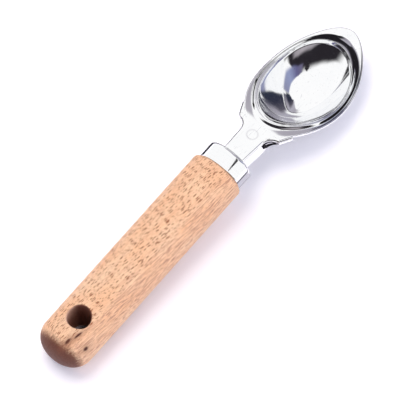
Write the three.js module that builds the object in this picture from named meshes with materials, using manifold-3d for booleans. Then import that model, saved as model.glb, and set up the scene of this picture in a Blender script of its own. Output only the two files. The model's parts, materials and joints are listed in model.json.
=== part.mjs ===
// Ice cream scoop: a pressed steel bowl on a channel-shaped neck, a drawn ferrule and a beech handle.
// Millimetres, as it lies on a table: +X from the butt to the tip, +Y to the left, +Z up.
// The origin is on the table, under the middle of the scoop's length.

import * as THREE from 'three';
import { mergeVertices } from 'three/addons/utils/BufferGeometryUtils.js';
import Module from 'manifold-3d';

const wasm = await Module();
wasm.setup();

// Sheet and fits
const SHEET = 1.2; // stainless sheet of the bowl and the neck
const FIT = 0.3; // gap between two neighbouring pieces

// Bowl
const CAVITY_LENGTH = 49; // inside the lip, along X
const CAVITY_WIDTH = 35.2; // inside the lip, along Y
const CAVITY_FULLNESS = 0.08; // how much the front half is fuller than the back half
const WALL_ANGLE = 30; // degrees of the arc that is stretched to the cavity's wall, from the floor to the lip
const DEEPEST_SETBACK = 4; // deepest point of the cavity, behind its middle
const BOWL_DEPTH = 13.2; // underside to the flat margin, where the margin lies lowest
const RIM_BACK = 8.1; // raised rim behind the cavity
const RIM_SIDE = 3.1; // raised rim beside the cavity
const RIM_FRONT = 6.2; // raised rim before the cavity
const RIM_FULLNESS = 0.04; // how much the rim's front half is fuller than its back half
const LIP_AT = 0.16; // crest of the lip, as a share of the rim's width
const GROOVE_AT = 0.4; // bottom of the groove, likewise
const BEAD_AT = 0.6; // crest of the bead, likewise
const SLOPE_AT = 0.86; // foot of the outer slope, likewise
const UNDERSIDE_AT = 0.5; // highest place of the rim's underside, as a share of its width
const LIP_START = 0.8; // top of the cavity wall above the margin
const LIP_HEIGHT = 2; // crest of the lip above the margin
const GROOVE_HEIGHT = 1.1; // groove between the lip and the bead
const BEAD_HEIGHT = 1.5; // crest of the outer bead
const SLOPE_HEIGHT = 0.4; // foot of the outer slope
const MARGIN = 0.9; // flat edge outside the rim
const MARGIN_BEND = 0.5; // radius where the edge turns down
const BEAK = 3.1; // how far the margin's blunt beak stands out at the tip
const BEAK_SHARPNESS = 7; // power of the cosine that shapes the beak
const SKIRT = 1.8; // depth of the turned-down edge
const RIM_DIP = 6.6; // fall of the margin from the neck to its lowest place
const RIM_LOW_AT = 39; // lowest place of the margin, from the back of the bowl
const TIP_RISE = 7.2; // rise of the margin from there to the tip

// Neck
const NECK_REACH = 17.2; // face of the ferrule to the back of the bowl
const NECK_WIDTH = 11.8; // across the crown, at the ferrule
const NECK_FRONT_WIDTH = 13; // across the crown, where the fillets begin
const NECK_FILLET = 6; // plan radius between the neck and the bowl
const FILLET_SETBACK = 4.2; // start of the fillets, behind the back of the bowl
const FILLET_SWEEP = 80; // degrees of that fillet, up to the ear
const EAR_LENGTH = 6.3; // from the end of the fillet to where the ear runs out on the bowl
const EAR_SPREAD = 3.1; // widening of the ear over that length
const EAR_LEAN = 28; // degrees that the ear's edge leans from the length of the scoop
const EAR_DEPTH = 2.6; // crown to the lower edge of the ear
const NECK_BEND = 1.6; // radius of the folded edges
const NECK_DEPTH = 5.2; // crown to the lower edge of the sides
const NECK_SPLAY = 1.4; // how far each side leans out at its lower edge
const NECK_RISE = 2.2; // crown above the handle's axis, at the ferrule
const NECK_TAIL = 4; // length of the neck inside the ferrule
const WELD_DIAMETER = 6; // spot-weld mark on the crown
const WELD_DEPTH = 0.25;
const WELD_SETBACK = 1.9; // centre of the mark, behind the back of the bowl

// Handle and ferrule
const HANDLE_PITCH = 6.8; // degrees between the handle's axis and the crown of the neck
const HANDLE_LENGTH = 114.5; // butt to the shoulder behind the ferrule
const HANDLE_WIDTH = 26.6;
const HANDLE_THICKNESS = 23;
const DOME = 11; // length of the domed butt
const DOME_SQUARENESS = 2.2; // exponent of the dome's superellipse
const SHOULDER = 1.4; // rounded front edge of the wood
const HOLE_DIAMETER = 11; // hang hole
const HOLE_SETBACK = 19.4; // butt to the centre of the hang hole
const HOLE_EASE = 0.6; // bevel at both mouths of the hang hole
const FERRULE_LENGTH = 9.3;
const FERRULE_WIDTH = 23.4;
const FERRULE_WALL = 0.8;
const FERRULE_CORNER = 1.8; // outer radius of the drawn front edge

// Tang
const TANG_WIDTH = 8;
const TANG_THICKNESS = 3;
const TANG_LENGTH = 66; // face of the ferrule to the pointed end in the wood
const TANG_POINT = 6; // length of the pointed end
const TANG_LAP = 5.5; // length under the bowl's margin
const RESIN = 1.2; // resin between the tang's corners and the wood

// Facets
const AROUND_BOWL = 64;
const AROUND_HANDLE = 48;
const CAVITY_RINGS = 8;
const RIM_RINGS = 10;
const ARC_STEPS = 6;
const DOME_STEPS = 9;
const AROUND_BORE = 32;
const AROUND_WELD = 24;

// Limits of the arithmetic
const SAME_POINT = 1e-4; // points closer than this are one
const LAY_LIMIT = 20; // degrees, more than the scoop tips when it is laid down
const LAY_ERROR = 1e-7; // radians

const degrees = THREE.MathUtils.degToRad;
const blend = THREE.MathUtils.lerp;

// Polished stainless steel, bare beech and cured resin
const steel = (roughness) => new THREE.MeshStandardMaterial({ color: 0xc9cacd, roughness, metalness: 1 });
const beech = new THREE.MeshStandardMaterial({ color: 0xdba981, roughness: 0.6, metalness: 0 });
const resin = new THREE.MeshStandardMaterial({ color: 0xb8a26a, roughness: 0.35, metalness: 0 });

// Numbers from 0 to 1 in equal steps, both ends included
function steps(count) {
  return Array.from({ length: count + 1 }, (_, i) => i / count);
}

// Geometry with shared corners merged and collapsed triangles left out
function weld(geometry) {
  geometry.deleteAttribute('normal');
  geometry.deleteAttribute('uv');
  const merged = mergeVertices(geometry, SAME_POINT);
  const corners = merged.index.array;
  const kept = [];
  for (let i = 0; i < corners.length; i += 3) {
    const [a, b, c] = corners.slice(i, i + 3);
    if (a !== b && b !== c && c !== a) kept.push(a, b, c);
  }
  merged.setIndex(kept);
  return merged;
}

// Closed geometry as a solid that can be cut
function solid(geometry) {
  const welded = weld(geometry);
  const vertProperties = new Float32Array(welded.attributes.position.array);
  const triVerts = new Uint32Array(welded.index.array);
  return new wasm.Manifold(new wasm.Mesh({ numProp: 3, vertProperties, triVerts }));
}

// Solid back to geometry
function geometryOf(body) {
  const { vertProperties, triVerts } = body.getMesh();
  const geometry = new THREE.BufferGeometry();
  geometry.setAttribute('position', new THREE.BufferAttribute(vertProperties, 3));
  geometry.setIndex(new THREE.BufferAttribute(triVerts, 1));
  geometry.computeVertexNormals();
  return geometry;
}

// Skin over loops of points. A loop of one point is a pole, and all others have equal counts.
// The caps are triangles that close the ends, as point numbers.
function skin(loops, caps = []) {
  const points = loops.flat();
  const starts = [];
  loops.reduce((start, loop) => {
    starts.push(start);
    return start + loop.length;
  }, 0);
  const faces = [...caps];
  for (let k = 0; k + 1 < loops.length; k += 1) {
    const count = Math.max(loops[k].length, loops[k + 1].length);
    for (let i = 0; i < count; i += 1) {
      const corner = (loop, at) => starts[loop] + (at % loops[loop].length);
      faces.push(corner(k, i), corner(k + 1, i), corner(k + 1, i + 1));
      faces.push(corner(k, i), corner(k + 1, i + 1), corner(k, i + 1));
    }
  }
  const geometry = new THREE.BufferGeometry().setFromPoints(points);
  geometry.setIndex(faces);
  return weld(geometry);
}

// Turned piece about the X axis, flattened to the handle's oval. Outline points are (radius, place along X).
const OVAL = HANDLE_THICKNESS / HANDLE_WIDTH;
function turned(outline) {
  return new THREE.LatheGeometry(outline, AROUND_HANDLE).rotateZ(-Math.PI / 2).scale(1, 1, OVAL);
}

// Quarter round from the side of a turned piece to its front face
function quarterRound(radius, front, corner) {
  return steps(ARC_STEPS).map((step) => {
    const angle = degrees(90 * step);
    const out = radius - corner + corner * Math.cos(angle);
    return new THREE.Vector2(out, front - corner + corner * Math.sin(angle));
  });
}

// Outline of the wood: domed butt, straight grip, rounded shoulder and the tenon inside the ferrule
const shoulderAt = -FERRULE_LENGTH;
const buttAt = shoulderAt - HANDLE_LENGTH;
const tenonRadius = FERRULE_WIDTH / 2 - FERRULE_WALL - FIT;
const tenonFace = -NECK_TAIL - FIT;
const domeOutline = steps(DOME_STEPS).map((step) => {
  const angle = degrees(90 * step);
  const out = (HANDLE_WIDTH / 2) * Math.sin(angle) ** (2 / DOME_SQUARENESS);
  const along = DOME * (1 - Math.cos(angle) ** (2 / DOME_SQUARENESS));
  return new THREE.Vector2(out, buttAt + along);
});
const woodOutline = [
  ...domeOutline,
  ...quarterRound(HANDLE_WIDTH / 2, shoulderAt - FIT, SHOULDER),
  new THREE.Vector2(tenonRadius, shoulderAt - FIT),
  new THREE.Vector2(tenonRadius, tenonFace),
  new THREE.Vector2(0, tenonFace),
];

// Heights above the underside of the bowl, while the crown is level
const crownHeight = BOWL_DEPTH + RIM_DIP;
const axisHeight = crownHeight - NECK_RISE;
const pitch = degrees(HANDLE_PITCH);

// Plan outlines of the bowl, each a function of the angle from the tip
const bowlBack = NECK_REACH;
const bowlLength = RIM_BACK + CAVITY_LENGTH + RIM_FRONT;
const bowlMiddle = bowlBack + MARGIN + bowlLength / 2;
const cavityMiddle = bowlBack + MARGIN + RIM_BACK + CAVITY_LENGTH / 2;
const deepest = cavityMiddle - DEEPEST_SETBACK;
function cavityPlan(angle, grow = 0) {
  const wide = (CAVITY_WIDTH / 2 + grow) * (1 + CAVITY_FULLNESS * Math.cos(angle));
  const along = (CAVITY_LENGTH / 2 + grow) * Math.cos(angle);
  return new THREE.Vector2(cavityMiddle + along, wide * Math.sin(angle));
}
function rimPlan(angle, grow = 0) {
  const wide = (CAVITY_WIDTH / 2 + RIM_SIDE + grow) * (1 + RIM_FULLNESS * Math.cos(angle));
  const along = (bowlLength / 2 + grow) * Math.cos(angle);
  return new THREE.Vector2(bowlMiddle + along, wide * Math.sin(angle));
}
function marginPlan(angle, grow = 0) {
  const beak = BEAK * Math.max(0, Math.cos(angle)) ** BEAK_SHARPNESS;
  const place = rimPlan(angle, MARGIN + grow);
  return new THREE.Vector2(place.x + beak, place.y);
}

// Side view of the margin: level with the crown at the neck, lowest past the middle, rising to the tip
const lowAt = bowlBack + RIM_LOW_AT;
const tipAt = marginPlan(0).x;
function marginHeight(x) {
  const fall = THREE.MathUtils.clamp((x - bowlBack) / RIM_LOW_AT, 0, 1);
  const rise = Math.max(0, (x - lowAt) / (tipAt - lowAt));
  return BOWL_DEPTH + (RIM_DIP * (1 + Math.cos(Math.PI * fall))) / 2 + TIP_RISE * rise ** 2;
}

// The turned-down edge starts at the ears, because the neck closes the bowl's back
const filletFrom = bowlBack - FILLET_SETBACK;
const earFrom = filletFrom + NECK_FILLET * Math.sin(degrees(FILLET_SWEEP));
function skirtDepth(x) {
  const share = THREE.MathUtils.smoothstep(x, earFrom, earFrom + 2 * EAR_LENGTH);
  return blend(SHEET, SKIRT, share);
}

// Section across the rim, from the top of the cavity wall to the margin: lip, groove, bead and outer slope
const rimSection = new THREE.SplineCurve([
  new THREE.Vector2(0, LIP_START),
  new THREE.Vector2(LIP_AT, LIP_HEIGHT),
  new THREE.Vector2(GROOVE_AT, GROOVE_HEIGHT),
  new THREE.Vector2(BEAD_AT, BEAD_HEIGHT),
  new THREE.Vector2(SLOPE_AT, SLOPE_HEIGHT),
  new THREE.Vector2(1, 0),
]);

function bowl() {
  const angles = steps(AROUND_BOWL).slice(0, -1).map((step) => 2 * Math.PI * step);
  const ring = (plan, height) => angles.map((angle) => {
    const place = plan(angle);
    return new THREE.Vector3(place.x, place.y, height(place.x));
  });
  const between = (inner, outer, share) => (angle) => inner(angle).lerp(outer(angle), share);
  const arc = degrees(WALL_ANGLE);

  // One wall of the cavity, from its pole up to the lip
  const wall = (grow, floor, top) => steps(CAVITY_RINGS).map((step) => {
    const out = Math.sin(arc * step) / Math.sin(arc);
    const up = (1 - Math.cos(arc * step)) / (1 - Math.cos(arc));
    if (step === 0) return [new THREE.Vector3(deepest, 0, floor)];
    return angles.map((angle) => {
      const edge = cavityPlan(angle, grow);
      const height = blend(floor, marginHeight(edge.x) + top, up);
      return new THREE.Vector3(blend(deepest, edge.x, out), edge.y * out, height);
    });
  });

  const inside = (angle) => cavityPlan(angle);
  const outside = (angle) => cavityPlan(angle, SHEET);
  const edge = (grow) => (angle) => marginPlan(angle, grow);
  const rim = rimSection.getPoints(RIM_RINGS).slice(1).map((p) => (
    ring(between(inside, rimPlan, p.x), (x) => marginHeight(x) + p.y)
  ));
  const loops = [
    ...wall(0, SHEET, LIP_START),
    ...rim,
    ring(edge(-MARGIN_BEND), marginHeight),
    ring(edge(0), (x) => marginHeight(x) - MARGIN_BEND),
    ring(edge(0), (x) => marginHeight(x) - skirtDepth(x)),
    ring(edge(-SHEET), (x) => marginHeight(x) - skirtDepth(x)),
    ring(edge(-SHEET), (x) => marginHeight(x) - SHEET),
    ring(between(outside, edge(-SHEET), UNDERSIDE_AT), (x) => marginHeight(x) + BEAD_HEIGHT - 2 * SHEET),
    ...wall(SHEET, 0, LIP_START - SHEET).reverse(),
  ];
  return skin(loops);
}

// Straight-sided block over the bowl's plan, which copes whatever meets the bowl
function bowlBlock() {
  const outline = steps(AROUND_BOWL).slice(0, -1).map((step) => marginPlan(2 * Math.PI * step, FIT));
  return new THREE.ExtrudeGeometry(new THREE.Shape(outline), { depth: 2 * crownHeight, bevelEnabled: false });
}

// Half outline of the crown in plan, from the tail to the ear: edge point and the way it faces
function crownEdges() {
  const full = { depth: NECK_DEPTH, splay: NECK_SPLAY };
  const edges = [-NECK_TAIL, 0].map((x) => ({ x, wide: NECK_WIDTH / 2, turn: 0, ...full }));
  for (const step of steps(ARC_STEPS)) {
    const turn = degrees(FILLET_SWEEP * step);
    const x = filletFrom + NECK_FILLET * Math.sin(turn);
    const wide = NECK_FRONT_WIDTH / 2 + NECK_FILLET * (1 - Math.cos(turn));
    edges.push({ x, wide, turn, depth: blend(NECK_DEPTH, EAR_DEPTH, step), splay: NECK_SPLAY * (1 - step) });
  }
  const last = edges[edges.length - 1];
  const x = last.x + EAR_LENGTH;
  edges.push({ ...last, x, wide: last.wide + EAR_SPREAD, turn: degrees(EAR_LEAN) });
  return edges;
}

// Half section of the channel at one place: crown, folded edge and splayed side, inset by a thickness.
// The crown is level before the ferrule, its ears fall with the margin and its tail runs along the handle.
function channelSide(edge, inset) {
  const bend = Math.max(NECK_BEND - inset, FIT);
  const lean = edge.x < 0 ? pitch : 0;
  const crown = marginHeight(edge.x) + edge.x * Math.tan(lean);
  const place = (out, down) => new THREE.Vector3(
    edge.x - out * Math.sin(edge.turn) + down * Math.sin(lean),
    edge.wide + out * Math.cos(edge.turn),
    crown - down * Math.cos(lean),
  );
  const fold = steps(ARC_STEPS).map((step) => {
    const angle = degrees(90 * step);
    return place(-inset - bend * (1 - Math.sin(angle)), inset + bend * (1 - Math.cos(angle)));
  });
  return [...fold, place(edge.splay - inset, edge.depth)];
}

function neck() {
  const mirror = (p) => new THREE.Vector3(p.x, -p.y, p.z);
  const chain = (edge, inset) => {
    const side = channelSide(edge, inset);
    return [...side.map(mirror).reverse(), ...side];
  };
  const edges = crownEdges();
  const loops = edges.map((edge) => [...chain(edge, 0), ...chain(edge, SHEET).reverse()]);
  const count = loops[0].length;
  const lastLoop = count * (loops.length - 1);
  const caps = [];
  for (let i = 0; i + 1 < count / 2; i += 1) {
    const [a, b, c, d] = [i, i + 1, count - 2 - i, count - 1 - i];
    caps.push(a, b, c, a, c, d);
    caps.push(lastLoop + a, lastLoop + c, lastLoop + b, lastLoop + a, lastLoop + d, lastLoop + c);
  }
  const mark = new THREE.CylinderGeometry(WELD_DIAMETER / 2, WELD_DIAMETER / 2, 2 * WELD_DEPTH, AROUND_WELD);
  mark.rotateX(Math.PI / 2).translate(bowlBack - WELD_SETBACK, 0, crownHeight);
  return geometryOf(solid(skin(loops, caps)).subtract(solid(bowlBlock())).subtract(solid(mark)));
}

// Side outline of the tang: level under the crown and the margin, then along the handle to its point
const tangTop = NECK_RISE - SHEET - FIT;
const tangBottom = tangTop - TANG_THICKNESS;
function tang() {
  const onAxis = (x, z) => new THREE.Vector2(
    x * Math.cos(pitch) - z * Math.sin(pitch),
    axisHeight + x * Math.sin(pitch) + z * Math.cos(pitch),
  );
  const front = bowlBack + TANG_LAP;
  const outline = new THREE.Shape([
    new THREE.Vector2(front, axisHeight + tangTop),
    new THREE.Vector2(0, axisHeight + tangTop),
    onAxis(-TANG_LENGTH + TANG_POINT, tangTop),
    onAxis(-TANG_LENGTH, (tangTop + tangBottom) / 2),
    onAxis(-TANG_LENGTH + TANG_POINT, tangBottom),
    new THREE.Vector2(0, axisHeight + tangBottom),
    new THREE.Vector2(front, axisHeight + tangBottom),
  ]);
  const bar = new THREE.ExtrudeGeometry(outline, { depth: TANG_WIDTH, bevelEnabled: false });
  return bar.rotateX(Math.PI / 2).translate(0, TANG_WIDTH / 2, 0);
}

// Drilled bore in the wood and the resin that fills it round the tang
const tangReach = Math.max(Math.abs(tangTop), Math.abs(tangBottom));
const boreRadius = Math.hypot(TANG_WIDTH / 2, tangReach) + RESIN;
const boreEnd = -TANG_LENGTH - RESIN;
function rod(radius, from, to) {
  return new THREE.CylinderGeometry(radius, radius, to - from, AROUND_BORE)
    .rotateZ(-Math.PI / 2)
    .translate((from + to) / 2, 0, 0);
}
function tangAdhesive() {
  const room = new THREE.BoxGeometry(TANG_LENGTH, TANG_WIDTH + 2 * FIT, TANG_THICKNESS + 2 * FIT);
  room.translate(-TANG_LENGTH / 2 - FIT, 0, (tangTop + tangBottom) / 2);
  const fill = rod(boreRadius - FIT, boreEnd + FIT, tenonFace - FIT);
  return geometryOf(solid(fill).subtract(solid(room)));
}

// Drill for the hang hole, with the bevel at both mouths
function holeDrill() {
  const radius = HOLE_DIAMETER / 2;
  const half = HANDLE_THICKNESS / 2;
  const outline = [
    new THREE.Vector2(0, -half - radius),
    new THREE.Vector2(radius + HOLE_EASE + radius, -half - radius),
    new THREE.Vector2(radius, -half + HOLE_EASE),
    new THREE.Vector2(radius, half - HOLE_EASE),
    new THREE.Vector2(radius + HOLE_EASE + radius, half + radius),
    new THREE.Vector2(0, half + radius),
  ];
  return new THREE.LatheGeometry(outline, AROUND_BORE)
    .rotateX(Math.PI / 2)
    .translate(buttAt + HOLE_SETBACK, 0, 0);
}

function handle() {
  const bore = rod(boreRadius, boreEnd, tenonFace + FIT);
  return geometryOf(solid(turned(woodOutline)).subtract(solid(bore)).subtract(solid(holeDrill())));
}

// Drawn cap with a slot in its face for the neck
function ferrule() {
  const radius = FERRULE_WIDTH / 2;
  const cap = turned([
    new THREE.Vector2(0, -FERRULE_WALL),
    new THREE.Vector2(radius - FERRULE_WALL, -FERRULE_WALL),
    new THREE.Vector2(radius - FERRULE_WALL, -FERRULE_LENGTH),
    new THREE.Vector2(radius, -FERRULE_LENGTH),
    ...quarterRound(radius, 0, FERRULE_CORNER),
    new THREE.Vector2(0, 0),
  ]);
  const slot = new THREE.BoxGeometry(NECK_TAIL, NECK_WIDTH + 2 * (NECK_SPLAY + FIT), NECK_DEPTH + 2 * FIT);
  slot.translate(0, 0, NECK_RISE - NECK_DEPTH / 2);
  return geometryOf(solid(cap).subtract(solid(slot)));
}

function piece(name, geometry, material) {
  const mesh = new THREE.Mesh(geometry, material);
  mesh.name = name;
  return mesh;
}

// Pieces on the handle's axis
const grip = new THREE.Group();
grip.add(piece('handle', handle(), beech));
grip.add(piece('ferrule', ferrule(), steel(0.12)));
grip.add(piece('tang_adhesive', tangAdhesive(), resin));
grip.position.z = axisHeight;
grip.rotation.y = -pitch;

// All pieces, while the crown is level
const scoop = new THREE.Group();
scoop.add(grip);
scoop.add(piece('neck', neck(), steel(0.1)));
scoop.add(piece('bowl', bowl(), steel(0.08)));
scoop.add(piece('tang', tang(), steel(0.4)));

// Laid down: the scoop tips until the bowl is as low as the butt
function lowest(name) {
  scoop.updateMatrixWorld(true);
  return new THREE.Box3().setFromObject(scoop.getObjectByName(name), true).min.z;
}
scoop.rotation.y = -degrees(LAY_LIMIT);
for (let step = degrees(LAY_LIMIT); step > LAY_ERROR; step /= 2) {
  scoop.rotation.y += step;
  if (lowest('bowl') < lowest('handle')) scoop.rotation.y -= step;
}

// On the table, with the middle of the length over the origin
const reach = new THREE.Box3().setFromObject(scoop, true);
scoop.position.x = -(reach.min.x + reach.max.x) / 2;
scoop.position.z = -reach.min.z;

export default scoop;
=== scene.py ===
import json
import math

import bmesh
import bpy
import numpy as np
from mathutils import Matrix, Vector


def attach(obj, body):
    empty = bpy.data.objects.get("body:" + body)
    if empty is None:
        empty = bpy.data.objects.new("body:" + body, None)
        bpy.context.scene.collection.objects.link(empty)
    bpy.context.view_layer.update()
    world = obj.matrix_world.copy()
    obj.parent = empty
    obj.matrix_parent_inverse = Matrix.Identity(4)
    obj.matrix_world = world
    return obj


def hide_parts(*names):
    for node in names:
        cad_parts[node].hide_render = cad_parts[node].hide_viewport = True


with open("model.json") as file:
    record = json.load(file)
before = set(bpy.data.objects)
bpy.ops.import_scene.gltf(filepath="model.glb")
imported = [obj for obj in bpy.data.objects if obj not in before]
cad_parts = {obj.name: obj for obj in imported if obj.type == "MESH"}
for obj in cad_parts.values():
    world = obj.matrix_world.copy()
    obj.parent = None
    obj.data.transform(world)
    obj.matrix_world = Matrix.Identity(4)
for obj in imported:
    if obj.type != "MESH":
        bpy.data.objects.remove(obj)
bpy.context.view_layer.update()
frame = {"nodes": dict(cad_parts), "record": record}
scene = bpy.context.scene
scene.view_settings.view_transform = "Standard"

# Bowl
# Pressed in one piece from 1.2 mm stainless sheet: an egg-shaped cavity, a raised rim with a lip and an outer bead,
# and a narrow margin that is turned down at its edge and drawn out to a blunt beak. Polished all over after pressing.
MM = 0.001
SHEET = 1.2
CAVITY_LENGTH = 49
CAVITY_WIDTH = 35.2
CAVITY_FULLNESS = 0.08
WALL_ARC = math.radians(30)
DEEPEST_BACK = 4
BOWL_DEPTH = 13.2
RIM_BACK = 8.1
RIM_SIDE = 3.1
RIM_FRONT = 6.2
RIM_FULLNESS = 0.04
MARGIN = 0.88
MARGIN_BACK = 0.9
MARGIN_BEND = 0.5
EDGE_ROUND = 0.3
BEAK = 3.1
BEAK_SHARPNESS = 7
SKIRT = 1.8
RIM_DIP = 6.6
RIM_LOW_AT = 39
TIP_RISE = 7.2
CROWN_MOUNT_AT = 6
NECK_REACH = 17.2
FILLET_FROM = 13.0
FILLET_RADIUS = 6
FILLET_SWEEP = math.radians(80)
EAR_LENGTH = 6.3

cavity_middle = NECK_REACH + MARGIN_BACK + RIM_BACK + CAVITY_LENGTH / 2
bowl_length = RIM_BACK + CAVITY_LENGTH + RIM_FRONT
bowl_middle = NECK_REACH + MARGIN_BACK + bowl_length / 2
ear_from = FILLET_FROM + FILLET_RADIUS * math.sin(FILLET_SWEEP)
ear_to = ear_from + EAR_LENGTH
low_at = NECK_REACH + RIM_LOW_AT
tip_at = bowl_middle + bowl_length / 2 + MARGIN_BACK + BEAK
turn = np.linspace(0, 2 * math.pi, 256, endpoint=False)


def smooth_step(value, low, high):
    share = np.clip((value - low) / (high - low), 0, 1)
    return share * share * (3 - 2 * share)


def cavity_plan(grow):
    wide = (CAVITY_WIDTH / 2 + grow) * (1 + CAVITY_FULLNESS * np.cos(turn))
    return np.stack([cavity_middle + (CAVITY_LENGTH / 2 + grow) * np.cos(turn), wide * np.sin(turn)], 1)


def rim_plan(grow):
    wide = (CAVITY_WIDTH / 2 + RIM_SIDE + grow) * (1 + RIM_FULLNESS * np.cos(turn))
    return np.stack([bowl_middle + (bowl_length / 2 + grow) * np.cos(turn), wide * np.sin(turn)], 1)


def margin_plan(inset):
    plan = rim_plan(0)
    outward = rim_plan(1) - plan
    plan = plan + outward * np.reshape(MARGIN - inset, (-1, 1))
    plan[:, 0] += BEAK * np.maximum(0, np.cos(turn)) ** BEAK_SHARPNESS
    return plan


def margin_height(x):
    fall = np.clip((x - NECK_REACH) / RIM_LOW_AT, 0, 1)
    rise = np.maximum(0, (x - low_at) / (tip_at - low_at))
    return BOWL_DEPTH + RIM_DIP * (1 + np.cos(math.pi * fall)) / 2 + TIP_RISE * rise**2


def ring(plan, above):
    return np.column_stack([plan, margin_height(plan[:, 0]) + above])


def through(points, count):
    """Points of a smooth curve through the given ones, evenly spaced by their number."""
    known = np.array(points, float)
    ends = np.vstack([2 * known[0] - known[1], known, 2 * known[-1] - known[-2]])
    curve = []
    for step in np.linspace(0, len(known) - 1, count):
        k = min(int(step), len(known) - 2)
        t = step - k
        a, b, c, d = ends[k : k + 4]
        curve.append(0.5 * (2 * b + (c - a) * t + (2 * a - 5 * b + 4 * c - d) * t**2 + (3 * b - a - 3 * c + d) * t**3))
    return np.array(curve)


def wall(grow, floor, above):
    """Rings of the cavity's wall, from its lowest point up to the lip."""
    edge = cavity_plan(grow)
    top = margin_height(edge[:, 0]) + above
    deepest = cavity_middle - DEEPEST_BACK
    rings = [np.array([[deepest, 0, floor]])]
    for step in np.linspace(0, 1, 33)[1:]:
        out = math.sin(WALL_ARC * step) / math.sin(WALL_ARC)
        up = (1 - math.cos(WALL_ARC * step)) / (1 - math.cos(WALL_ARC))
        x = deepest + (edge[:, 0] - deepest) * out
        rings.append(np.column_stack([x, edge[:, 1] * out, floor + (top - floor) * up]))
    return rings


def skin(name, chains, caps=(), left_out=()):
    """Smooth closed piece over chains of loops of points in millimetres. A loop of one point is a pole, and the other
    loops of a chain have equal counts. Caps are more faces, as point numbers, and the cells left out are of the first
    chain, as (loop, cell)."""
    points, faces = [], [list(cap) for cap in caps]
    left_out = set(left_out)
    for chain in chains:
        starts = len(points) + np.cumsum([0] + [len(loop) for loop in chain])
        for k in range(len(chain) - 1):
            here, there = len(chain[k]), len(chain[k + 1])
            for i in range(max(here, there)):
                if chain is chains[0] and (k, i) in left_out:
                    continue
                corners = [starts[k] + i % here, starts[k + 1] + i % there]
                corners += [starts[k + 1] + (i + 1) % there, starts[k] + (i + 1) % here]
                faces.append(list(dict.fromkeys(int(c) for c in corners)))
        points += [point for loop in chain for point in (np.asarray(loop) * MM).tolist()]
    mesh = bpy.data.meshes.new(name)
    mesh.from_pydata(points, [], faces)
    shell = bmesh.new()
    shell.from_mesh(mesh)
    bmesh.ops.remove_doubles(shell, verts=shell.verts, dist=1e-7)
    loose = [vertex for vertex in shell.verts if not vertex.link_faces]
    bmesh.ops.delete(shell, geom=loose, context="VERTS")
    bmesh.ops.recalc_face_normals(shell, faces=shell.faces)
    shell.to_mesh(mesh)
    shell.free()
    mesh.shade_smooth()
    piece = bpy.data.objects.new(name, mesh)
    scene.collection.objects.link(piece)
    return piece


LIP_START = 0.8
TIP_LIP_START = 1.6
# Rim sections: way out from the cavity's edge, in millimetres or at the tip as a share of the rim, and height in mm
rim_section = [(0, LIP_START), (0.45, 1.75), (0.95, 2.05), (1.5, 1.35), (1.9, 1.15), (2.35, 1.55), (2.75, 1.48),
               (3.3, 0.92), (3.85, 0.3), (4.2, 0.05), (4.5, 0)]
tip_section = [(0, TIP_LIP_START), (0.12, 3.0), (0.2, 2.9), (0.4, 2.15), (0.6, 1.3), (0.8, 0.5), (0.93, 0.06), (1, 0)]
at_tip = 1 - smooth_step(np.abs(np.arctan2(np.sin(turn), np.cos(turn))), math.radians(30), math.radians(68))
inside, outside = cavity_plan(0), cavity_plan(SHEET)
rim_width = np.linalg.norm(rim_plan(0) - inside, axis=1)
squeezed = np.minimum(1 / rim_width, 0.97 / rim_section[-1][0])
edge_x = margin_plan(0)[:, 0]
at_neck = 1 - smooth_step(edge_x, ear_from, ear_to)
bend = MARGIN_BEND * (1 - at_neck) + 0.06 * at_neck
skirt = SKIRT + (SHEET - SKIRT) * (1 - smooth_step(edge_x, ear_from, ear_from + 2 * EAR_LENGTH))
lip_start = LIP_START + (TIP_LIP_START - LIP_START) * at_tip


def pressed_rim(count):
    """Rows of the rim from the cavity's edge outward: shares of its width, and heights above the margin."""
    rows = []
    for (out, height), (tip_share, tip_height) in zip(through(rim_section, count), through(tip_section, count)):
        across = out * squeezed * (1 - at_tip) + 0.985 * tip_share * at_tip
        rows.append((across, height + (tip_height - height) * at_tip))
    return rows


bowl_loops = wall(0, SHEET, lip_start)
for across, raised in pressed_rim(72)[1:]:
    bowl_loops.append(ring(inside + (rim_plan(0) - inside) * across[:, None], raised))
rim_edge = across
for step in (0.25, 0.5, 0.75, 1):
    across = rim_edge + (1 - rim_edge) * step
    bowl_loops.append(ring(inside + (rim_plan(0) - inside) * across[:, None], 0))
for step in np.linspace(0, math.pi / 2, 7):
    bowl_loops.append(ring(margin_plan(bend * (1 - math.sin(step))), -bend * (1 - math.cos(step))))
for step in np.linspace(0, math.pi / 2, 5):
    bowl_loops.append(ring(margin_plan(EDGE_ROUND * (1 - math.cos(step))), -skirt + EDGE_ROUND * (1 - math.sin(step))))
for step in np.linspace(0, math.pi / 2, 5):
    drop = EDGE_ROUND * (1 - math.cos(step)) - skirt
    bowl_loops.append(ring(margin_plan(SHEET - EDGE_ROUND * (1 - math.sin(step))), drop))
under_edge = margin_plan(SHEET)
bowl_loops.append(ring(under_edge, np.maximum(-SHEET, EDGE_ROUND - skirt)))
for across, raised in pressed_rim(40)[:0:-1]:
    bowl_loops.append(ring(outside + (under_edge - outside) * across[:, None], raised - SHEET))
bowl_loops += wall(SHEET, 0.04, lip_start - SHEET)[::-1]
bowl = skin("bowl_shell", [bowl_loops])

# The frame tells how the scoop is laid down: it gives the crown's slope and the place of one point of the crown
mounts = {mount["name"]: mount for mount in frame["record"]["mounts"]}
crown_axis = mounts["neck_crown"]["axis"]
crown_height = BOWL_DEPTH + RIM_DIP
lay = math.atan2(crown_axis[0], crown_axis[2])
laid = Matrix.Rotation(lay, 4, "Y")
crown_point = laid @ Vector((CROWN_MOUNT_AT, 0, crown_height)) * MM
laid = Matrix.Translation(Vector(mounts["neck_crown"]["pos_m"]) - crown_point) @ laid
bowl.data.transform(laid)


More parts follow.
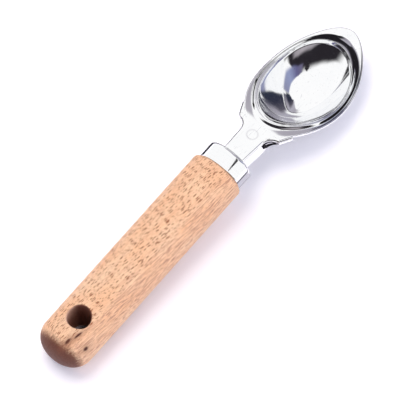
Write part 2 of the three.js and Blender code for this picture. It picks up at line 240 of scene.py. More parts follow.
def linear(code):
    """Linear RGBA of an sRGB hex colour."""
    channels = [int(code[i : i + 2], 16) / 255 for i in (1, 3, 5)]
    return [c / 12.92 if c <= 0.04045 else ((c + 0.055) / 1.055) ** 2.4 for c in channels] + [1]


def add(tree, kind, inputs=None, **settings):
    """One node of the tree, with its settings, its values and its links."""
    made = tree.nodes.new("ShaderNode" + kind)
    for name, value in settings.items():
        setattr(made, name, value)
    for socket, value in (inputs or {}).items():
        if isinstance(value, bpy.types.NodeSocket):
            tree.links.new(value, made.inputs[socket])
        else:
            made.inputs[socket].default_value = value
    return made


def new_material(name):
    material = bpy.data.materials.new(name)
    material.use_nodes = True
    material.node_tree.nodes.clear()
    return material, material.node_tree


# Mirror-polished stainless steel: a clean, faintly cool mirror. Smudges and buffing lines soften it in places, the
# pressed sheet waves its reflections a little, and hairline scratches catch the light. Real buffing lines and scratches
# are finer than 0.1 mm and would not show, so they are drawn coarser, about 0.4 to 0.6 mm apart.
polished_steel, steel = new_material("mirror_polished_stainless_steel")
place = add(steel, "TexCoord").outputs["Object"]
in_mm = add(steel, "Mapping", {"Vector": place, "Scale": (1000, 1000, 1000)}).outputs[0]
smudge = add(steel, "TexNoise", {"Vector": in_mm, "Scale": 0.14, "Detail": 4, "Roughness": 0.6}).outputs[0]
sheet_wave = add(steel, "TexNoise", {"Vector": in_mm, "Scale": 0.07, "Detail": 1}).outputs[0]
along_scoop = add(steel, "Mapping", {"Vector": in_mm, "Scale": (0.05, 1.7, 1.7)}).outputs[0]
buffing = add(steel, "TexNoise", {"Vector": along_scoop, "Scale": 1, "Detail": 5, "Roughness": 0.7}).outputs[0]
across_scoop = add(steel, "Mapping", {"Vector": in_mm, "Rotation": (0, 0, 0.6), "Scale": (0.09, 2.6, 2.6)}).outputs[0]
scratch = add(steel, "TexNoise", {"Vector": across_scoop, "Scale": 1, "Detail": 2}).outputs[0]
hairline = add(steel, "MapRange", {"Value": scratch, "From Min": 0.66, "From Max": 0.72}).outputs[0]
dulled = add(steel, "MapRange", {"Value": smudge, "From Min": 0.35, "From Max": 0.75, "To Min": 0.03, "To Max": 0.075})
rough = add(steel, "Math", {0: buffing, 1: 0.03, 2: dulled.outputs[0]}, operation="MULTIPLY_ADD").outputs[0]
rough = add(steel, "Math", {0: hairline, 1: 0.09, 2: rough}, operation="MULTIPLY_ADD").outputs[0]
tint = add(steel, "Mix", {0: smudge, 6: linear("#FFFFFF"), 7: linear("#F8F9FB")}, data_type="RGBA").outputs[2]
tint = add(steel, "Mix", {0: hairline, 6: tint, 7: linear("#DDDEE2")}, data_type="RGBA").outputs[2]
pointed = add(steel, "NewGeometry").outputs["Pointiness"]
rubbed = add(steel, "MapRange", {"Value": pointed, "From Min": 0.53, "From Max": 0.6}).outputs[0]
rubbed = add(steel, "Math", {0: rubbed, 1: buffing}, operation="MULTIPLY").outputs[0]
rough = add(steel, "Math", {0: rubbed, 1: 0.12, 2: rough}, operation="MULTIPLY_ADD").outputs[0]
tint = add(steel, "Mix", {0: rubbed, 6: tint, 7: linear("#D2D3D8")}, data_type="RGBA").outputs[2]
heated = add(steel, "Attribute", attribute_name="heated").outputs["Fac"]
rough = add(steel, "Math", {0: heated, 1: 0.1, 2: rough}, operation="MULTIPLY_ADD").outputs[0]
tint = add(steel, "Mix", {0: heated, 6: tint, 7: linear("#B4B2BA")}, data_type="RGBA").outputs[2]
waves = add(steel, "Bump", {"Height": sheet_wave, "Strength": 1, "Distance": 0.02 * MM}).outputs[0]
lines = add(steel, "Bump", {"Height": buffing, "Strength": 1, "Distance": 0.0005 * MM, "Normal": waves}).outputs[0]
cuts = add(steel, "Bump", {"Height": hairline, "Strength": 1, "Distance": -0.001 * MM, "Normal": lines}).outputs[0]
mirror = add(steel, "BsdfPrincipled", {"Base Color": tint, "Metallic": 1, "Roughness": rough, "Normal": cuts})
add(steel, "OutputMaterial", {"Surface": mirror.outputs[0]})
bowl.data.materials.append(polished_steel)
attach(bowl, "root")
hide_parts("bowl")

# Neck
# A channel pressed from the same sheet: a flat crown, rolled edges and splayed sides, filleted out into two ears that
# are welded flush to the bowl's margin. A round spot-weld mark lies on the crown, over the tang below it.
NECK_TAIL = 4
NECK_WIDTH = 11.8
NECK_FRONT_WIDTH = 13
NECK_BEND = 1.6
NECK_DEPTH = 5.2
NECK_SPLAY = 1.4
EAR_DEPTH = 2.6
EAR_SPREAD = 3.1
EAR_CORNER = 0.7
WELD_AT = NECK_REACH - 2.9
WELD_RADIUS = 2.7
WELD_DEPTH = 0.07
WELD_TARNISH = 0.28

hole_axis = mounts["hang_hole"]["axis"]
pitch = lay + math.atan2(-hole_axis[0], hole_axis[2])
stations = [(x, NECK_WIDTH / 2, 0.0, NECK_DEPTH, NECK_SPLAY) for x in np.linspace(-NECK_TAIL, -0.01, 4)]
for step in np.linspace(0, 1, 44)[:-1]:
    half = (NECK_WIDTH + (NECK_FRONT_WIDTH - NECK_WIDTH) * step) / 2
    stations.append((FILLET_FROM * step, half, 0.0, NECK_DEPTH, NECK_SPLAY))
for step in np.linspace(0, 1, 25):
    angle = FILLET_SWEEP * step
    x = FILLET_FROM + FILLET_RADIUS * math.sin(angle)
    half = NECK_FRONT_WIDTH / 2 + FILLET_RADIUS * (1 - math.cos(angle))
    stations.append((x, half, angle, NECK_DEPTH + (EAR_DEPTH - NECK_DEPTH) * step, NECK_SPLAY * (1 - step)))
ear_lean = math.atan2(EAR_SPREAD, EAR_LENGTH)
x, half, angle = stations[-1][:3]
for step in np.linspace(FILLET_SWEEP, ear_lean, 9)[1:]:
    length = EAR_CORNER * (angle - step)
    x, half, angle = x + length * math.cos(step), half + length * math.sin(step), step
    stations.append((x, half, angle, EAR_DEPTH, 0.0))
end_half = half + (ear_to - x) * math.tan(ear_lean)
for step in np.linspace(0, 1, 20)[1:]:
    stations.append((x + (ear_to - x) * step, half + (end_half - half) * step, ear_lean, EAR_DEPTH, 0.0))


def channel(x, half, angle, depth, splay):
    """Closed loop round the channel at one place: its outside from right to left, then its inside back."""
    lean = pitch if x < 0 else 0.0
    crown = float(margin_height(x)) + x * math.tan(lean)
    crown -= 0.012 * smooth_step(x, FILLET_FROM, NECK_REACH)
    sides = []
    for inset in (0, SHEET):
        roll = max(NECK_BEND - inset, 0.4)
        offsets = []
        for a in np.linspace(0, math.pi / 2, 10):
            offsets.append((-inset - roll * (1 - math.sin(a)), inset + roll * (1 - math.cos(a))))
        last_out, last_down = offsets[-1]
        for step in np.linspace(0, 1, 5)[1:]:
            offsets.append((last_out + (splay - inset - last_out) * step, last_down + (depth - last_down) * step))
        side = [(x - out * math.sin(angle) + down * math.sin(lean), half + out * math.cos(angle),
                 crown - down * math.cos(lean)) for out, down in offsets]
        flat = []
        for share in np.linspace(-1, 1, 41)[1:-1]:
            flat_x = x + (side[0][0] - x) * share * share
            flat_y = side[0][1] * share
            flat_z = side[0][2]
            if inset == 0:
                away = math.hypot(flat_x - WELD_AT, flat_y)
                flat_z -= WELD_DEPTH * float(1 - smooth_step(away, WELD_RADIUS - 0.7, WELD_RADIUS))
            flat.append((flat_x, flat_y, flat_z))
        mirrored = [(px, -py, pz) for px, py, pz in side[::-1]]
        sides.append(mirrored + flat + side)
    return np.array(sides[0] + sides[1][::-1])


neck_loops = [channel(*station) for station in stations]
count = len(neck_loops[0])
front = count * (len(neck_loops) - 1)
ends = [(k + i, k + i + 1, k + count - 2 - i, k + count - 1 - i) for k in (0, front) for i in range(count // 2 - 1)]
neck = skin("neck_channel", [neck_loops], ends)
cope = margin_plan(0.15)
coping_loops = [np.column_stack([cope, np.full(len(cope), z)]) for z in (5.0, 50.0)]
coping = skin("coping", [coping_loops], [range(len(cope)), range(len(cope), 2 * len(cope))])


def carve(piece, cutter):
    """Cuts the cutter out of the piece for good, and removes the cutter."""
    saw = piece.modifiers.new("saw", "BOOLEAN")
    saw.object = cutter
    saw.operation = "DIFFERENCE"
    saw.solver = "EXACT"
    bpy.context.view_layer.update()
    cut = bpy.data.meshes.new_from_object(piece.evaluated_get(bpy.context.evaluated_depsgraph_get()))
    burrs = bmesh.new()
    burrs.from_mesh(cut)
    bmesh.ops.remove_doubles(burrs, verts=burrs.verts, dist=2e-6)
    burrs.to_mesh(cut)
    burrs.free()
    piece.modifiers.clear()
    piece.data = cut
    bpy.data.objects.remove(cutter)


carve(neck, coping)
weld_middle = Vector((WELD_AT, 0, crown_height))
near_weld = np.array([(vertex.co / MM - weld_middle).length for vertex in neck.data.vertices])
weld_ring = smooth_step(near_weld, WELD_RADIUS - 0.75, WELD_RADIUS - 0.25)
weld_ring = weld_ring * (1 - smooth_step(near_weld, WELD_RADIUS, WELD_RADIUS + 0.4))
neck.data.attributes.new("heated", "FLOAT", "POINT").data.foreach_set("value", WELD_TARNISH * weld_ring)
neck.data.transform(laid)
neck.data.shade_smooth()
neck.data.set_sharp_from_angle(angle=math.radians(40))
neck.data.materials.append(polished_steel)
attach(neck, "root")
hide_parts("neck")

# Tang
# A flat steel bar, left as rolled, spot-welded under the crown of the neck and run back into the handle. Only the
# stretch under the neck can be seen, from below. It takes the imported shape, with its edges broken.
tang = bpy.data.objects.new("tang_bar", frame["nodes"]["tang"].data.copy())
scene.collection.objects.link(tang)
flats = bmesh.new()
flats.from_mesh(tang.data)
bmesh.ops.remove_doubles(flats, verts=flats.verts, dist=1e-7)
bmesh.ops.dissolve_limit(flats, angle_limit=math.radians(1), verts=flats.verts, edges=flats.edges)
flats.to_mesh(tang.data)
flats.free()
broken_edges = tang.modifiers.new("broken_edges", "BEVEL")
broken_edges.width = 0.3 * MM
broken_edges.segments = 2
broken_edges.limit_method = "ANGLE"

# Rolled steel: grey and dull, with streaks along the bar and bluish patches of mill scale.
rolled_steel, bar = new_material("rolled_steel")
place = add(bar, "TexCoord").outputs["Object"]
along_bar = add(bar, "Mapping", {"Vector": place, "Scale": (60, 1400, 1400)}).outputs[0]
streak = add(bar, "TexNoise", {"Vector": along_bar, "Scale": 1, "Detail": 6, "Roughness": 0.7}).outputs[0]
scale_patch = add(bar, "TexNoise", {"Vector": place, "Scale": 240, "Detail": 5}).outputs[0]
scaled = add(bar, "MapRange", {"Value": scale_patch, "From Min": 0.48, "From Max": 0.62}).outputs[0]
streaked = add(bar, "Mix", {0: streak, 6: linear("#7E7E80"), 7: linear("#A9A9AA")}, data_type="RGBA").outputs[2]
grey = add(bar, "Mix", {0: scaled, 6: streaked, 7: linear("#5E636C")}, data_type="RGBA").outputs[2]
dull = add(bar, "MapRange", {"Value": streak, "To Min": 0.32, "To Max": 0.55}).outputs[0]
rolled = add(bar, "Bump", {"Height": streak, "Strength": 1, "Distance": 0.02 * MM}).outputs[0]
metal = add(bar, "BsdfPrincipled", {"Base Color": grey, "Metallic": 1, "Roughness": dull, "Normal": rolled})
add(bar, "OutputMaterial", {"Surface": metal.outputs[0]})
tang.data.materials.clear()
tang.data.materials.append(rolled_steel)
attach(tang, "root")
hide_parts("tang")

# Ferrule
# A cap drawn from thin stainless sheet and pushed over the front end of the handle, with the neck let into its face.
# It is polished like the bowl, and its drawn front edge is a round of 1.8 mm.
FERRULE_LENGTH = 9.3
FERRULE_WIDTH = 23.4
FERRULE_WALL = 0.8
FERRULE_CORNER = 1.8
SLOT_FIT = 0.04
NECK_RISE = 2.2
HANDLE_WIDTH = 26.6
HANDLE_THICKNESS = 23
oval = HANDLE_THICKNESS / HANDLE_WIDTH
around = np.linspace(0, 2 * math.pi, 192, endpoint=False)


def turned(outline):
    """Loops of a piece turned about the handle's axis and flattened to its oval. Outline points are (place, radius)."""
    loops = []
    for place, radius in outline:
        if radius == 0:
            loops.append(np.array([[place, 0, 0]]))
        else:
            across, up = radius * np.sin(around), radius * oval * np.cos(around)
            loops.append(np.column_stack([np.full(len(around), place), across, up]))
    return loops


ferrule_radius = FERRULE_WIDTH / 2
ferrule_bore = ferrule_radius - FERRULE_WALL
ferrule_outline = [(-FERRULE_WALL, 0), (-FERRULE_WALL, 0.9 * ferrule_bore), (-FERRULE_WALL, ferrule_bore)]
for step in np.linspace(0, math.pi, 9):
    place = -FERRULE_LENGTH + FERRULE_WALL / 2 * (1 - math.sin(step))
    ferrule_outline.append((place, ferrule_bore + FERRULE_WALL / 2 * (1 - math.cos(step))))
ferrule_outline += [(place, ferrule_radius) for place in np.linspace(-FERRULE_LENGTH + 0.8, -FERRULE_CORNER - 0.2, 8)]
for step in np.linspace(0, math.pi / 2, 15):
    place = FERRULE_CORNER * (math.sin(step) - 1)
    ferrule_outline.append((place, ferrule_radius + FERRULE_CORNER * (math.cos(step) - 1)))
ferrule_outline += [(0, radius) for radius in (8.5, 6.5, 4, 2, 0)]
ferrule = skin("ferrule_cap", [turned(ferrule_outline)])
slot_side = [(NECK_WIDTH / 2 + NECK_SPLAY * step + SLOT_FIT, crown_height - NECK_DEPTH * step) for step in (1, 0.3)]
for step in np.linspace(0, math.pi / 2, 8)[::-1]:
    roll_out, roll_down = NECK_BEND * (math.sin(step) - 1), NECK_BEND * (1 - math.cos(step))
    slot_side.append((NECK_WIDTH / 2 + roll_out + SLOT_FIT, crown_height - roll_down + SLOT_FIT))
slot_section = [(-y, z) for y, z in slot_side] + slot_side[::-1]
slot_loops = [np.array([(x, y, z) for y, z in slot_section]) for x in (-3, 3)]
slot = skin("slot", [slot_loops], [range(len(slot_section)), range(len(slot_section), 2 * len(slot_section))])
on_axis = Matrix.Translation((0, 0, (crown_height - NECK_RISE) * MM)) @ Matrix.Rotation(-pitch, 4, "Y")
ferrule.data.transform(on_axis)
carve(ferrule, slot)
ferrule.data.transform(laid)
ferrule.data.shade_smooth()
ferrule.data.set_sharp_from_angle(angle=math.radians(40))

# Drawn and buffed stainless steel: as bright as the bowl, with buffing lines round the cap, because it is polished
# while it turns. These lines too are drawn coarser than real ones, about 0.3 mm apart.
grip_turn = laid @ on_axis
grip_euler = grip_turn.to_euler()
buffed_steel, cap = new_material("drawn_and_buffed_stainless_steel")
place = add(cap, "TexCoord").outputs["Object"]
on_grip = add(cap, "Mapping", {"Vector": place, "Location": grip_turn.translation, "Rotation": grip_euler,
                               "Scale": (MM, MM, MM)}, vector_type="TEXTURE").outputs[0]
round_cap = add(cap, "Mapping", {"Vector": on_grip, "Scale": (3.2, 0.06, 0.06)}).outputs[0]
buffing = add(cap, "TexNoise", {"Vector": round_cap, "Scale": 1, "Detail": 5, "Roughness": 0.7}).outputs[0]
smudge = add(cap, "TexNoise", {"Vector": on_grip, "Scale": 0.2, "Detail": 4}).outputs[0]
ding = add(cap, "TexVoronoi", {"Vector": on_grip, "Scale": 0.35, "Randomness": 1}).outputs[0]
dinged = add(cap, "MapRange", {"Value": ding, "From Min": 0.0, "From Max": 0.16, "To Min": 1, "To Max": 0}).outputs[0]
dulled = add(cap, "MapRange", {"Value": smudge, "From Min": 0.35, "From Max": 0.75, "To Min": 0.04, "To Max": 0.09})
rough = add(cap, "Math", {0: buffing, 1: 0.05, 2: dulled.outputs[0]}, operation="MULTIPLY_ADD").outputs[0]
tint = add(cap, "Mix", {0: buffing, 6: linear("#FFFFFF"), 7: linear("#F5F6F8")}, data_type="RGBA").outputs[2]
lines = add(cap, "Bump", {"Height": buffing, "Strength": 1, "Distance": 0.0008 * MM}).outputs[0]
dents = add(cap, "Bump", {"Height": dinged, "Strength": 1, "Distance": -0.003 * MM, "Normal": lines}).outputs[0]
mirror = add(cap, "BsdfPrincipled", {"Base Color": tint, "Metallic": 1, "Roughness": rough, "Normal": dents})
add(cap, "OutputMaterial", {"Surface": mirror.outputs[0]})
ferrule.data.materials.clear()
ferrule.data.materials.append(buffed_steel)
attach(ferrule, "root")
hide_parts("ferrule")

# Handle
# Turned and sanded from one piece of flat-sawn beech: an oval grip with a domed butt, a rounded front shoulder and a
# tenon inside the ferrule. The hang hole is drilled through from above, and its mouths are eased by sanding.
HANDLE_LENGTH = 114.5
DOME = 11
DOME_SQUARENESS = 2.2
SHOULDER = 1.4
HOLE_RADIUS = 5.5
HOLE_SETBACK = 19.4
HOLE_EASE = 0.9
HOLE_EXIT_RADIUS = 5.2
HOLE_EXIT_EASE = 0.3
FIT = 0.3
TENON_FACE = -4.3
BORE_RADIUS = 5.81
BORE_END = -67.2
half_width = HANDLE_WIDTH / 2 - 0.05
half_thick = half_width * oval
butt_at = -FERRULE_LENGTH - HANDLE_LENGTH + 0.06
hole_at = -FERRULE_LENGTH - HANDLE_LENGTH + HOLE_SETBACK
shoulder_at = -FERRULE_LENGTH - FIT
PATCH_CELLS = 26
PATCH_SIDE = 19
PATCH_REACH = 7.6
wood_outline = [(butt_at, 0)]
for step in np.linspace(0, math.pi / 2, 34)[1:]:
    along = DOME * (1 - math.cos(step) ** (2 / DOME_SQUARENESS))
    wood_outline.append((butt_at + along, half_width * math.sin(step) ** (2 / DOME_SQUARENESS)))
patch_from = len(wood_outline)
patch_x = np.linspace(hole_at - PATCH_REACH, hole_at + PATCH_REACH, PATCH_CELLS + 1)
wood_outline += [(x, half_width) for x in patch_x]
wood_outline += [(x, half_width) for x in np.linspace(patch_x[-1], shoulder_at - SHOULDER, 40)[1:-1]]
for step in np.linspace(0, math.pi / 2, 12):
    wood_outline.append((shoulder_at + SHOULDER * (math.sin(step) - 1), half_width + SHOULDER * (math.cos(step) - 1)))
tenon = FERRULE_WIDTH / 2 - FERRULE_WALL - FIT
wood_outline += [(shoulder_at, tenon), (TENON_FACE, tenon)]
wood_loops = turned(wood_outline)
for x in (TENON_FACE, BORE_END):
    across, up = BORE_RADIUS * np.sin(around), BORE_RADIUS * np.cos(around)
    wood_loops.append(np.column_stack([np.full(len(around), x), across, up]))
wood_loops.append(np.array([[BORE_END, 0, 0]]))

# The hang hole replaces a square patch of the grip above and below: rings lead from the patch's border to the eased
# mouth and down the bore to the other side
half_way = len(around) // 2
mouth_cells = [(patch_from + k, (i + side) % len(around)) for k in range(PATCH_CELLS)
               for i in range(-PATCH_SIDE, PATCH_SIDE) for side in (0, half_way)]
border = [(0, i) for i in range(-PATCH_SIDE, PATCH_SIDE)] + [(k, PATCH_SIDE) for k in range(PATCH_CELLS)]
border += [(PATCH_CELLS, -i) for i in range(-PATCH_SIDE, PATCH_SIDE)]
border += [(PATCH_CELLS - k, -PATCH_SIDE) for k in range(PATCH_CELLS)]
border = np.array([wood_loops[patch_from + k][i % len(around)] for k, i in border])
way = border[:, :2] - [hole_at, 0]
way /= np.linalg.norm(way, axis=1, keepdims=True)


def grip_top(plan):
    return half_thick * np.sqrt(1 - (plan[:, 1] / half_width) ** 2)


def drilled(radius, ease):
    """Rings from the patch's border over the eased mouth to the bore's upper end."""
    mouth = [hole_at, 0] + way * (radius + ease)
    rings = [border]
    for step in (0.25, 0.5, 0.75):
        plan = border[:, :2] + (mouth - border[:, :2]) * step
        rings.append(np.column_stack([plan, grip_top(plan)]))
    for step in np.linspace(0, math.pi / 2, 10):
        plan = [hole_at, 0] + way * (radius + ease * (1 - math.sin(step)))
        rings.append(np.column_stack([plan, grip_top(mouth) - ease * (1 - math.cos(step))]))
    return rings


upper_mouth = drilled(HOLE_RADIUS, HOLE_EASE)
lower_mouth = [loop * [1, 1, -1] for loop in drilled(HOLE_EXIT_RADIUS, HOLE_EXIT_EASE)]
bore = [upper_mouth[-1] + (lower_mouth[-1] - upper_mouth[-1]) * step for step in np.linspace(0, 1, 18)[1:-1]]
hole_loops = upper_mouth + bore + lower_mouth[::-1]
handle = skin("handle_wood", [wood_loops, hole_loops], left_out=mouth_cells)
handle.data.transform(laid @ on_axis)
handle.data.set_sharp_from_angle(angle=math.radians(40))

# Oiled beech: a warm peach body. Short dark ray flecks lie along the grain above, fine growth lines run along the
# sides, the end grain of the butt is dark with painted shade on top, the drilled bore is dark with painted light on one
# side and painted shade on the other, and three small knots mark the butt. Real beech pores are under 0.1 mm wide and
# would not show, so pores and fine lines are drawn coarser, about 0.4 mm wide.
beech, wood = new_material("oiled_beech")
place = add(wood, "TexCoord").outputs["Object"]
on_grip = add(wood, "Mapping", {"Vector": place, "Location": grip_turn.translation, "Rotation": grip_euler,
                                "Scale": (MM, MM, MM)}, vector_type="TEXTURE").outputs[0]
facing = add(wood, "NewGeometry").outputs["Normal"]
facing = add(wood, "Mapping", {"Vector": facing, "Rotation": grip_euler}, vector_type="TEXTURE").outputs[0]
facing_butt = add(wood, "SeparateXYZ", {0: facing}).outputs[0]

# The grain runs a little askew, and its rings stand 20 degrees off the level
GRAIN_SKEW = math.radians(7.4)
wander = add(wood, "TexNoise", {"Vector": on_grip, "Scale": 0.035, "Detail": 2}).outputs["Color"]
wander = add(wood, "VectorMath", {0: wander, 1: (0.5, 0.5, 0.5)}, operation="SUBTRACT").outputs[0]
wander = add(wood, "VectorMath", {0: wander, 1: (0, 3.0, 3.0), 2: on_grip}, operation="MULTIPLY_ADD").outputs[0]
grain = add(wood, "Mapping", {"Vector": wander, "Rotation": (math.radians(-20), 0, GRAIN_SKEW)}).outputs[0]

# The flecks lie on the surface, so they are spaced along the grip and round it, in millimetres. Real ones are often
# thinner than 0.3 mm, and are drawn a little wider so that they show.
spot = add(wood, "SeparateXYZ", {0: wander})
rounded = add(wood, "Math", {0: spot.outputs[2], 1: 1 / oval}, operation="MULTIPLY").outputs[0]
rounded = add(wood, "Math", {0: spot.outputs[1], 1: rounded}, operation="ARCTAN2").outputs[0]
rounded = add(wood, "Math", {0: rounded, 1: half_width}, operation="MULTIPLY").outputs[0]
unrolled = add(wood, "CombineXYZ", {0: spot.outputs[0], 1: rounded}).outputs[0]
unrolled = add(wood, "Mapping", {"Vector": unrolled, "Rotation": (0, 0, GRAIN_SKEW)}).outputs[0]
flecks = []
for spacing, size, seed in (((4.4, 0.95), 0.29, 0), ((3.6, 0.82), 0.27, 37), ((5.4, 1.1), 0.25, 71)):
    cells = add(wood, "Mapping", {"Vector": unrolled, "Location": (seed, seed, 0),
                                  "Scale": (1 / spacing[0], 1 / spacing[1], 0)}).outputs[0]
    cell = add(wood, "TexVoronoi", {"Vector": cells, "Scale": 1, "Randomness": 1}, voronoi_dimensions="2D")
    chance = add(wood, "SeparateColor", {0: cell.outputs["Color"]}).outputs[0]
    reach = add(wood, "MapRange", {"Value": chance, "From Min": 0.15, "From Max": 1, "To Min": 0, "To Max": size})
    near = add(wood, "Math", {0: reach.outputs[0], 1: cell.outputs["Distance"]}, operation="SUBTRACT").outputs[0]
    flecks.append(add(wood, "MapRange", {"Value": near, "From Min": 0, "From Max": 0.08}).outputs[0])
fleck = add(wood, "Math", {0: flecks[0], 1: flecks[1]}, operation="MAXIMUM").outputs[0]
fleck = add(wood, "Math", {0: fleck, 1: flecks[2]}, operation="MAXIMUM").outputs[0]
upper = add(wood, "VectorMath", {0: facing, 1: (0, 0.5, 0.866)}, operation="DOT_PRODUCT").outputs["Value"]
upper = add(wood, "MapRange", {"Value": upper, "From Min": 0.3, "From Max": 0.72},
            interpolation_type="SMOOTHSTEP").outputs[0]
fleck = add(wood, "Math", {0: fleck, 1: upper}, operation="MULTIPLY").outputs[0]

ring_coords = add(wood, "Mapping", {"Vector": grain, "Scale": (0.028, 0.5, 1.3)}).outputs[0]
growth = add(wood, "TexNoise", {"Vector": ring_coords, "Scale": 1, "Detail": 4, "Roughness": 0.65}).outputs[0]
growth_line = add(wood, "MapRange", {"Value": growth, "From Min": 0.53, "From Max": 0.68}).outputs[0]
line_coords = add(wood, "Mapping", {"Vector": grain, "Scale": (0.1, 2.3, 2.3)}).outputs[0]
fine_line = add(wood, "TexNoise", {"Vector": line_coords, "Scale": 1, "Detail": 3, "Roughness": 0.6}).outputs[0]
fine_line = add(wood, "MapRange", {"Value": fine_line, "From Min": 0.5, "From Max": 0.58}).outputs[0]
on_sides = add(wood, "MapRange", {"Value": upper, "To Min": 0.9, "To Max": 0.25}).outputs[0]
fine_line = add(wood, "Math", {0: fine_line, 1: on_sides}, operation="MULTIPLY").outputs[0]
pore_coords = add(wood, "Mapping", {"Vector": grain, "Scale": (0.6, 2.2, 2.2)}).outputs[0]
pore = add(wood, "TexNoise", {"Vector": pore_coords, "Scale": 1, "Detail": 3}).outputs[0]
pores = add(wood, "MapRange", {"Value": pore, "From Min": 0.54, "From Max": 0.66}).outputs[0]
mottle_coords = add(wood, "Mapping", {"Vector": grain, "Scale": (0.05, 0.16, 0.16)}).outputs[0]
mottle = add(wood, "TexNoise", {"Vector": mottle_coords, "Scale": 1, "Detail": 3}).outputs[0]
mottled = add(wood, "MapRange", {"Value": mottle, "From Min": 0.3, "From Max": 0.7}).outputs[0]

body = add(wood, "Mix", {0: mottled, 6: linear("#FFD8B1"), 7: linear("#FEC99C")}, data_type="RGBA").outputs[2]
growth_dark = add(wood, "Math", {0: growth_line, 1: 0.4}, operation="MULTIPLY").outputs[0]
body = add(wood, "Mix", {0: growth_dark, 6: body, 7: linear("#DCA27F")}, data_type="RGBA").outputs[2]
body = add(wood, "Mix", {0: fine_line, 6: body, 7: linear("#D0967A")}, data_type="RGBA").outputs[2]
pore_dark = add(wood, "Math", {0: pores, 1: 0.45}, operation="MULTIPLY").outputs[0]
body = add(wood, "Mix", {0: pore_dark, 6: body, 7: linear("#C98F6C")}, data_type="RGBA").outputs[2]
fleck_dark = add(wood, "Math", {0: fleck, 1: 0.9}, operation="MULTIPLY").outputs[0]
body = add(wood, "Mix", {0: fleck_dark, 6: body, 7: linear("#A0562F")}, data_type="RGBA").outputs[2]

# End grain of the butt: darker than the side grain, and darkened further by painted shade
end_coords = add(wood, "Mapping", {"Vector": grain, "Scale": (0.25, 1.5, 1.5)}).outputs[0]
end_speck = add(wood, "TexNoise", {"Vector": end_coords, "Scale": 1, "Detail": 5, "Roughness": 0.7}).outputs[0]
end_grain_and_shade_tone = add(wood, "Mix", {0: end_speck, 6: linear("#34140B"), 7: linear("#8E5038")}, data_type="RGBA").outputs[2]
ragged = add(wood, "Math", {0: end_speck, 1: -0.6, 2: facing_butt}, operation="MULTIPLY_ADD").outputs[0]
end_grain_and_painted_shade = add(wood, "MapRange", {"Value": ragged, "From Min": -0.58, "From Max": -1.0},
                interpolation_type="SMOOTHSTEP")
body = add(wood, "Mix", {0: end_grain_and_painted_shade.outputs[0], 6: body, 7: end_grain_and_shade_tone}, data_type="RGBA").outputs[2]

# Knots: place and half-length along and across the grain, on the upper right of the butt
KNOT_TURN = math.radians(-9)
knots = [((-116.2, -3.7, 10.4), (2.6, 1.0, 3)), ((-111.1, -5.4, 10.4), (3.2, 0.62, 3)),
         ((-113.0, -10.9, 6.5), (1.8, 1.0, 1.5))]
for middle, reach in knots:
    away = add(wood, "Mapping", {"Vector": on_grip, "Location": middle, "Rotation": (0, 0, KNOT_TURN), "Scale": reach},
               vector_type="TEXTURE").outputs[0]
    away = add(wood, "VectorMath", {0: away}, operation="LENGTH").outputs["Value"]
    away = add(wood, "Math", {0: end_speck, 1: 0.5, 2: away}, operation="MULTIPLY_ADD").outputs[0]
    halo = add(wood, "MapRange", {"Value": away, "From Min": 3.2, "From Max": 1.0, "To Max": 0.45}).outputs[0]
    body = add(wood, "Mix", {0: halo, 6: body, 7: linear("#9C5F44")}, data_type="RGBA").outputs[2]
    knot = add(wood, "MapRange", {"Value": away, "From Min": 1.15, "From Max": 0.65}).outputs[0]
    body = add(wood, "Mix", {0: knot, 6: body, 7: linear("#4E2113")}, data_type="RGBA").outputs[2]

# Bore of the hang hole, dark with specks browned by the drill, and with painted light on one side of its wall and
# painted shade on the other
from_hole = add(wood, "Mapping", {"Vector": on_grip, "Location": (hole_at, 0, 0)}, vector_type="TEXTURE").outputs[0]
from_hole = add(wood, "VectorMath", {0: from_hole, 1: (1, 1, 0)}, operation="MULTIPLY").outputs[0]
from_axis = add(wood, "VectorMath", {0: from_hole}, operation="LENGTH").outputs["Value"]
in_bore = add(wood, "MapRange", {"Value": from_axis, "From Min": HOLE_RADIUS + 0.55,
                                 "From Max": HOLE_RADIUS + 0.05}).outputs[0]
# Mask across the bore: zero on the side with painted light, one on the side with painted shade
bore_shaded_side = add(wood, "VectorMath", {0: from_hole, 1: (0.643, -0.766, 0)}, operation="DOT_PRODUCT").outputs["Value"]
bore_shaded_side = add(wood, "MapRange", {"Value": bore_shaded_side, "From Min": -HOLE_RADIUS, "From Max": 0},
            interpolation_type="SMOOTHSTEP").outputs[0]
bore_light_and_shade = add(wood, "Mix", {0: bore_shaded_side, 6: linear("#FFCDB0"), 7: linear("#8A5A48")}, data_type="RGBA").outputs[2]
bore_dark = add(wood, "Math", {0: end_speck, 1: 0.3}, operation="MULTIPLY").outputs[0]
bore_light_and_shade = add(wood, "Mix", {0: bore_dark, 6: bore_light_and_shade, 7: linear("#3E221A")}, data_type="RGBA").outputs[2]
body = add(wood, "Mix", {0: in_bore, 6: body, 7: bore_light_and_shade}, data_type="RGBA").outputs[2]

sheen = add(wood, "MapRange", {"Value": pore, "To Min": 0.42, "To Max": 0.7}).outputs[0]
opened = add(wood, "Math", {0: pores, 1: 0.35, 2: fleck}, operation="MULTIPLY_ADD").outputs[0]
opened = add(wood, "Math", {0: fine_line, 1: 0.5, 2: opened}, operation="MULTIPLY_ADD").outputs[0]
relief = add(wood, "Bump", {"Height": opened, "Strength": 1, "Distance": -0.09 * MM}).outputs[0]
sanded = add(wood, "BsdfPrincipled", {"Base Color": body, "Roughness": sheen, "Normal": relief})
add(wood, "OutputMaterial", {"Surface": sanded.outputs[0]})
handle.data.materials.append(beech)
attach(handle, "root")
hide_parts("handle")

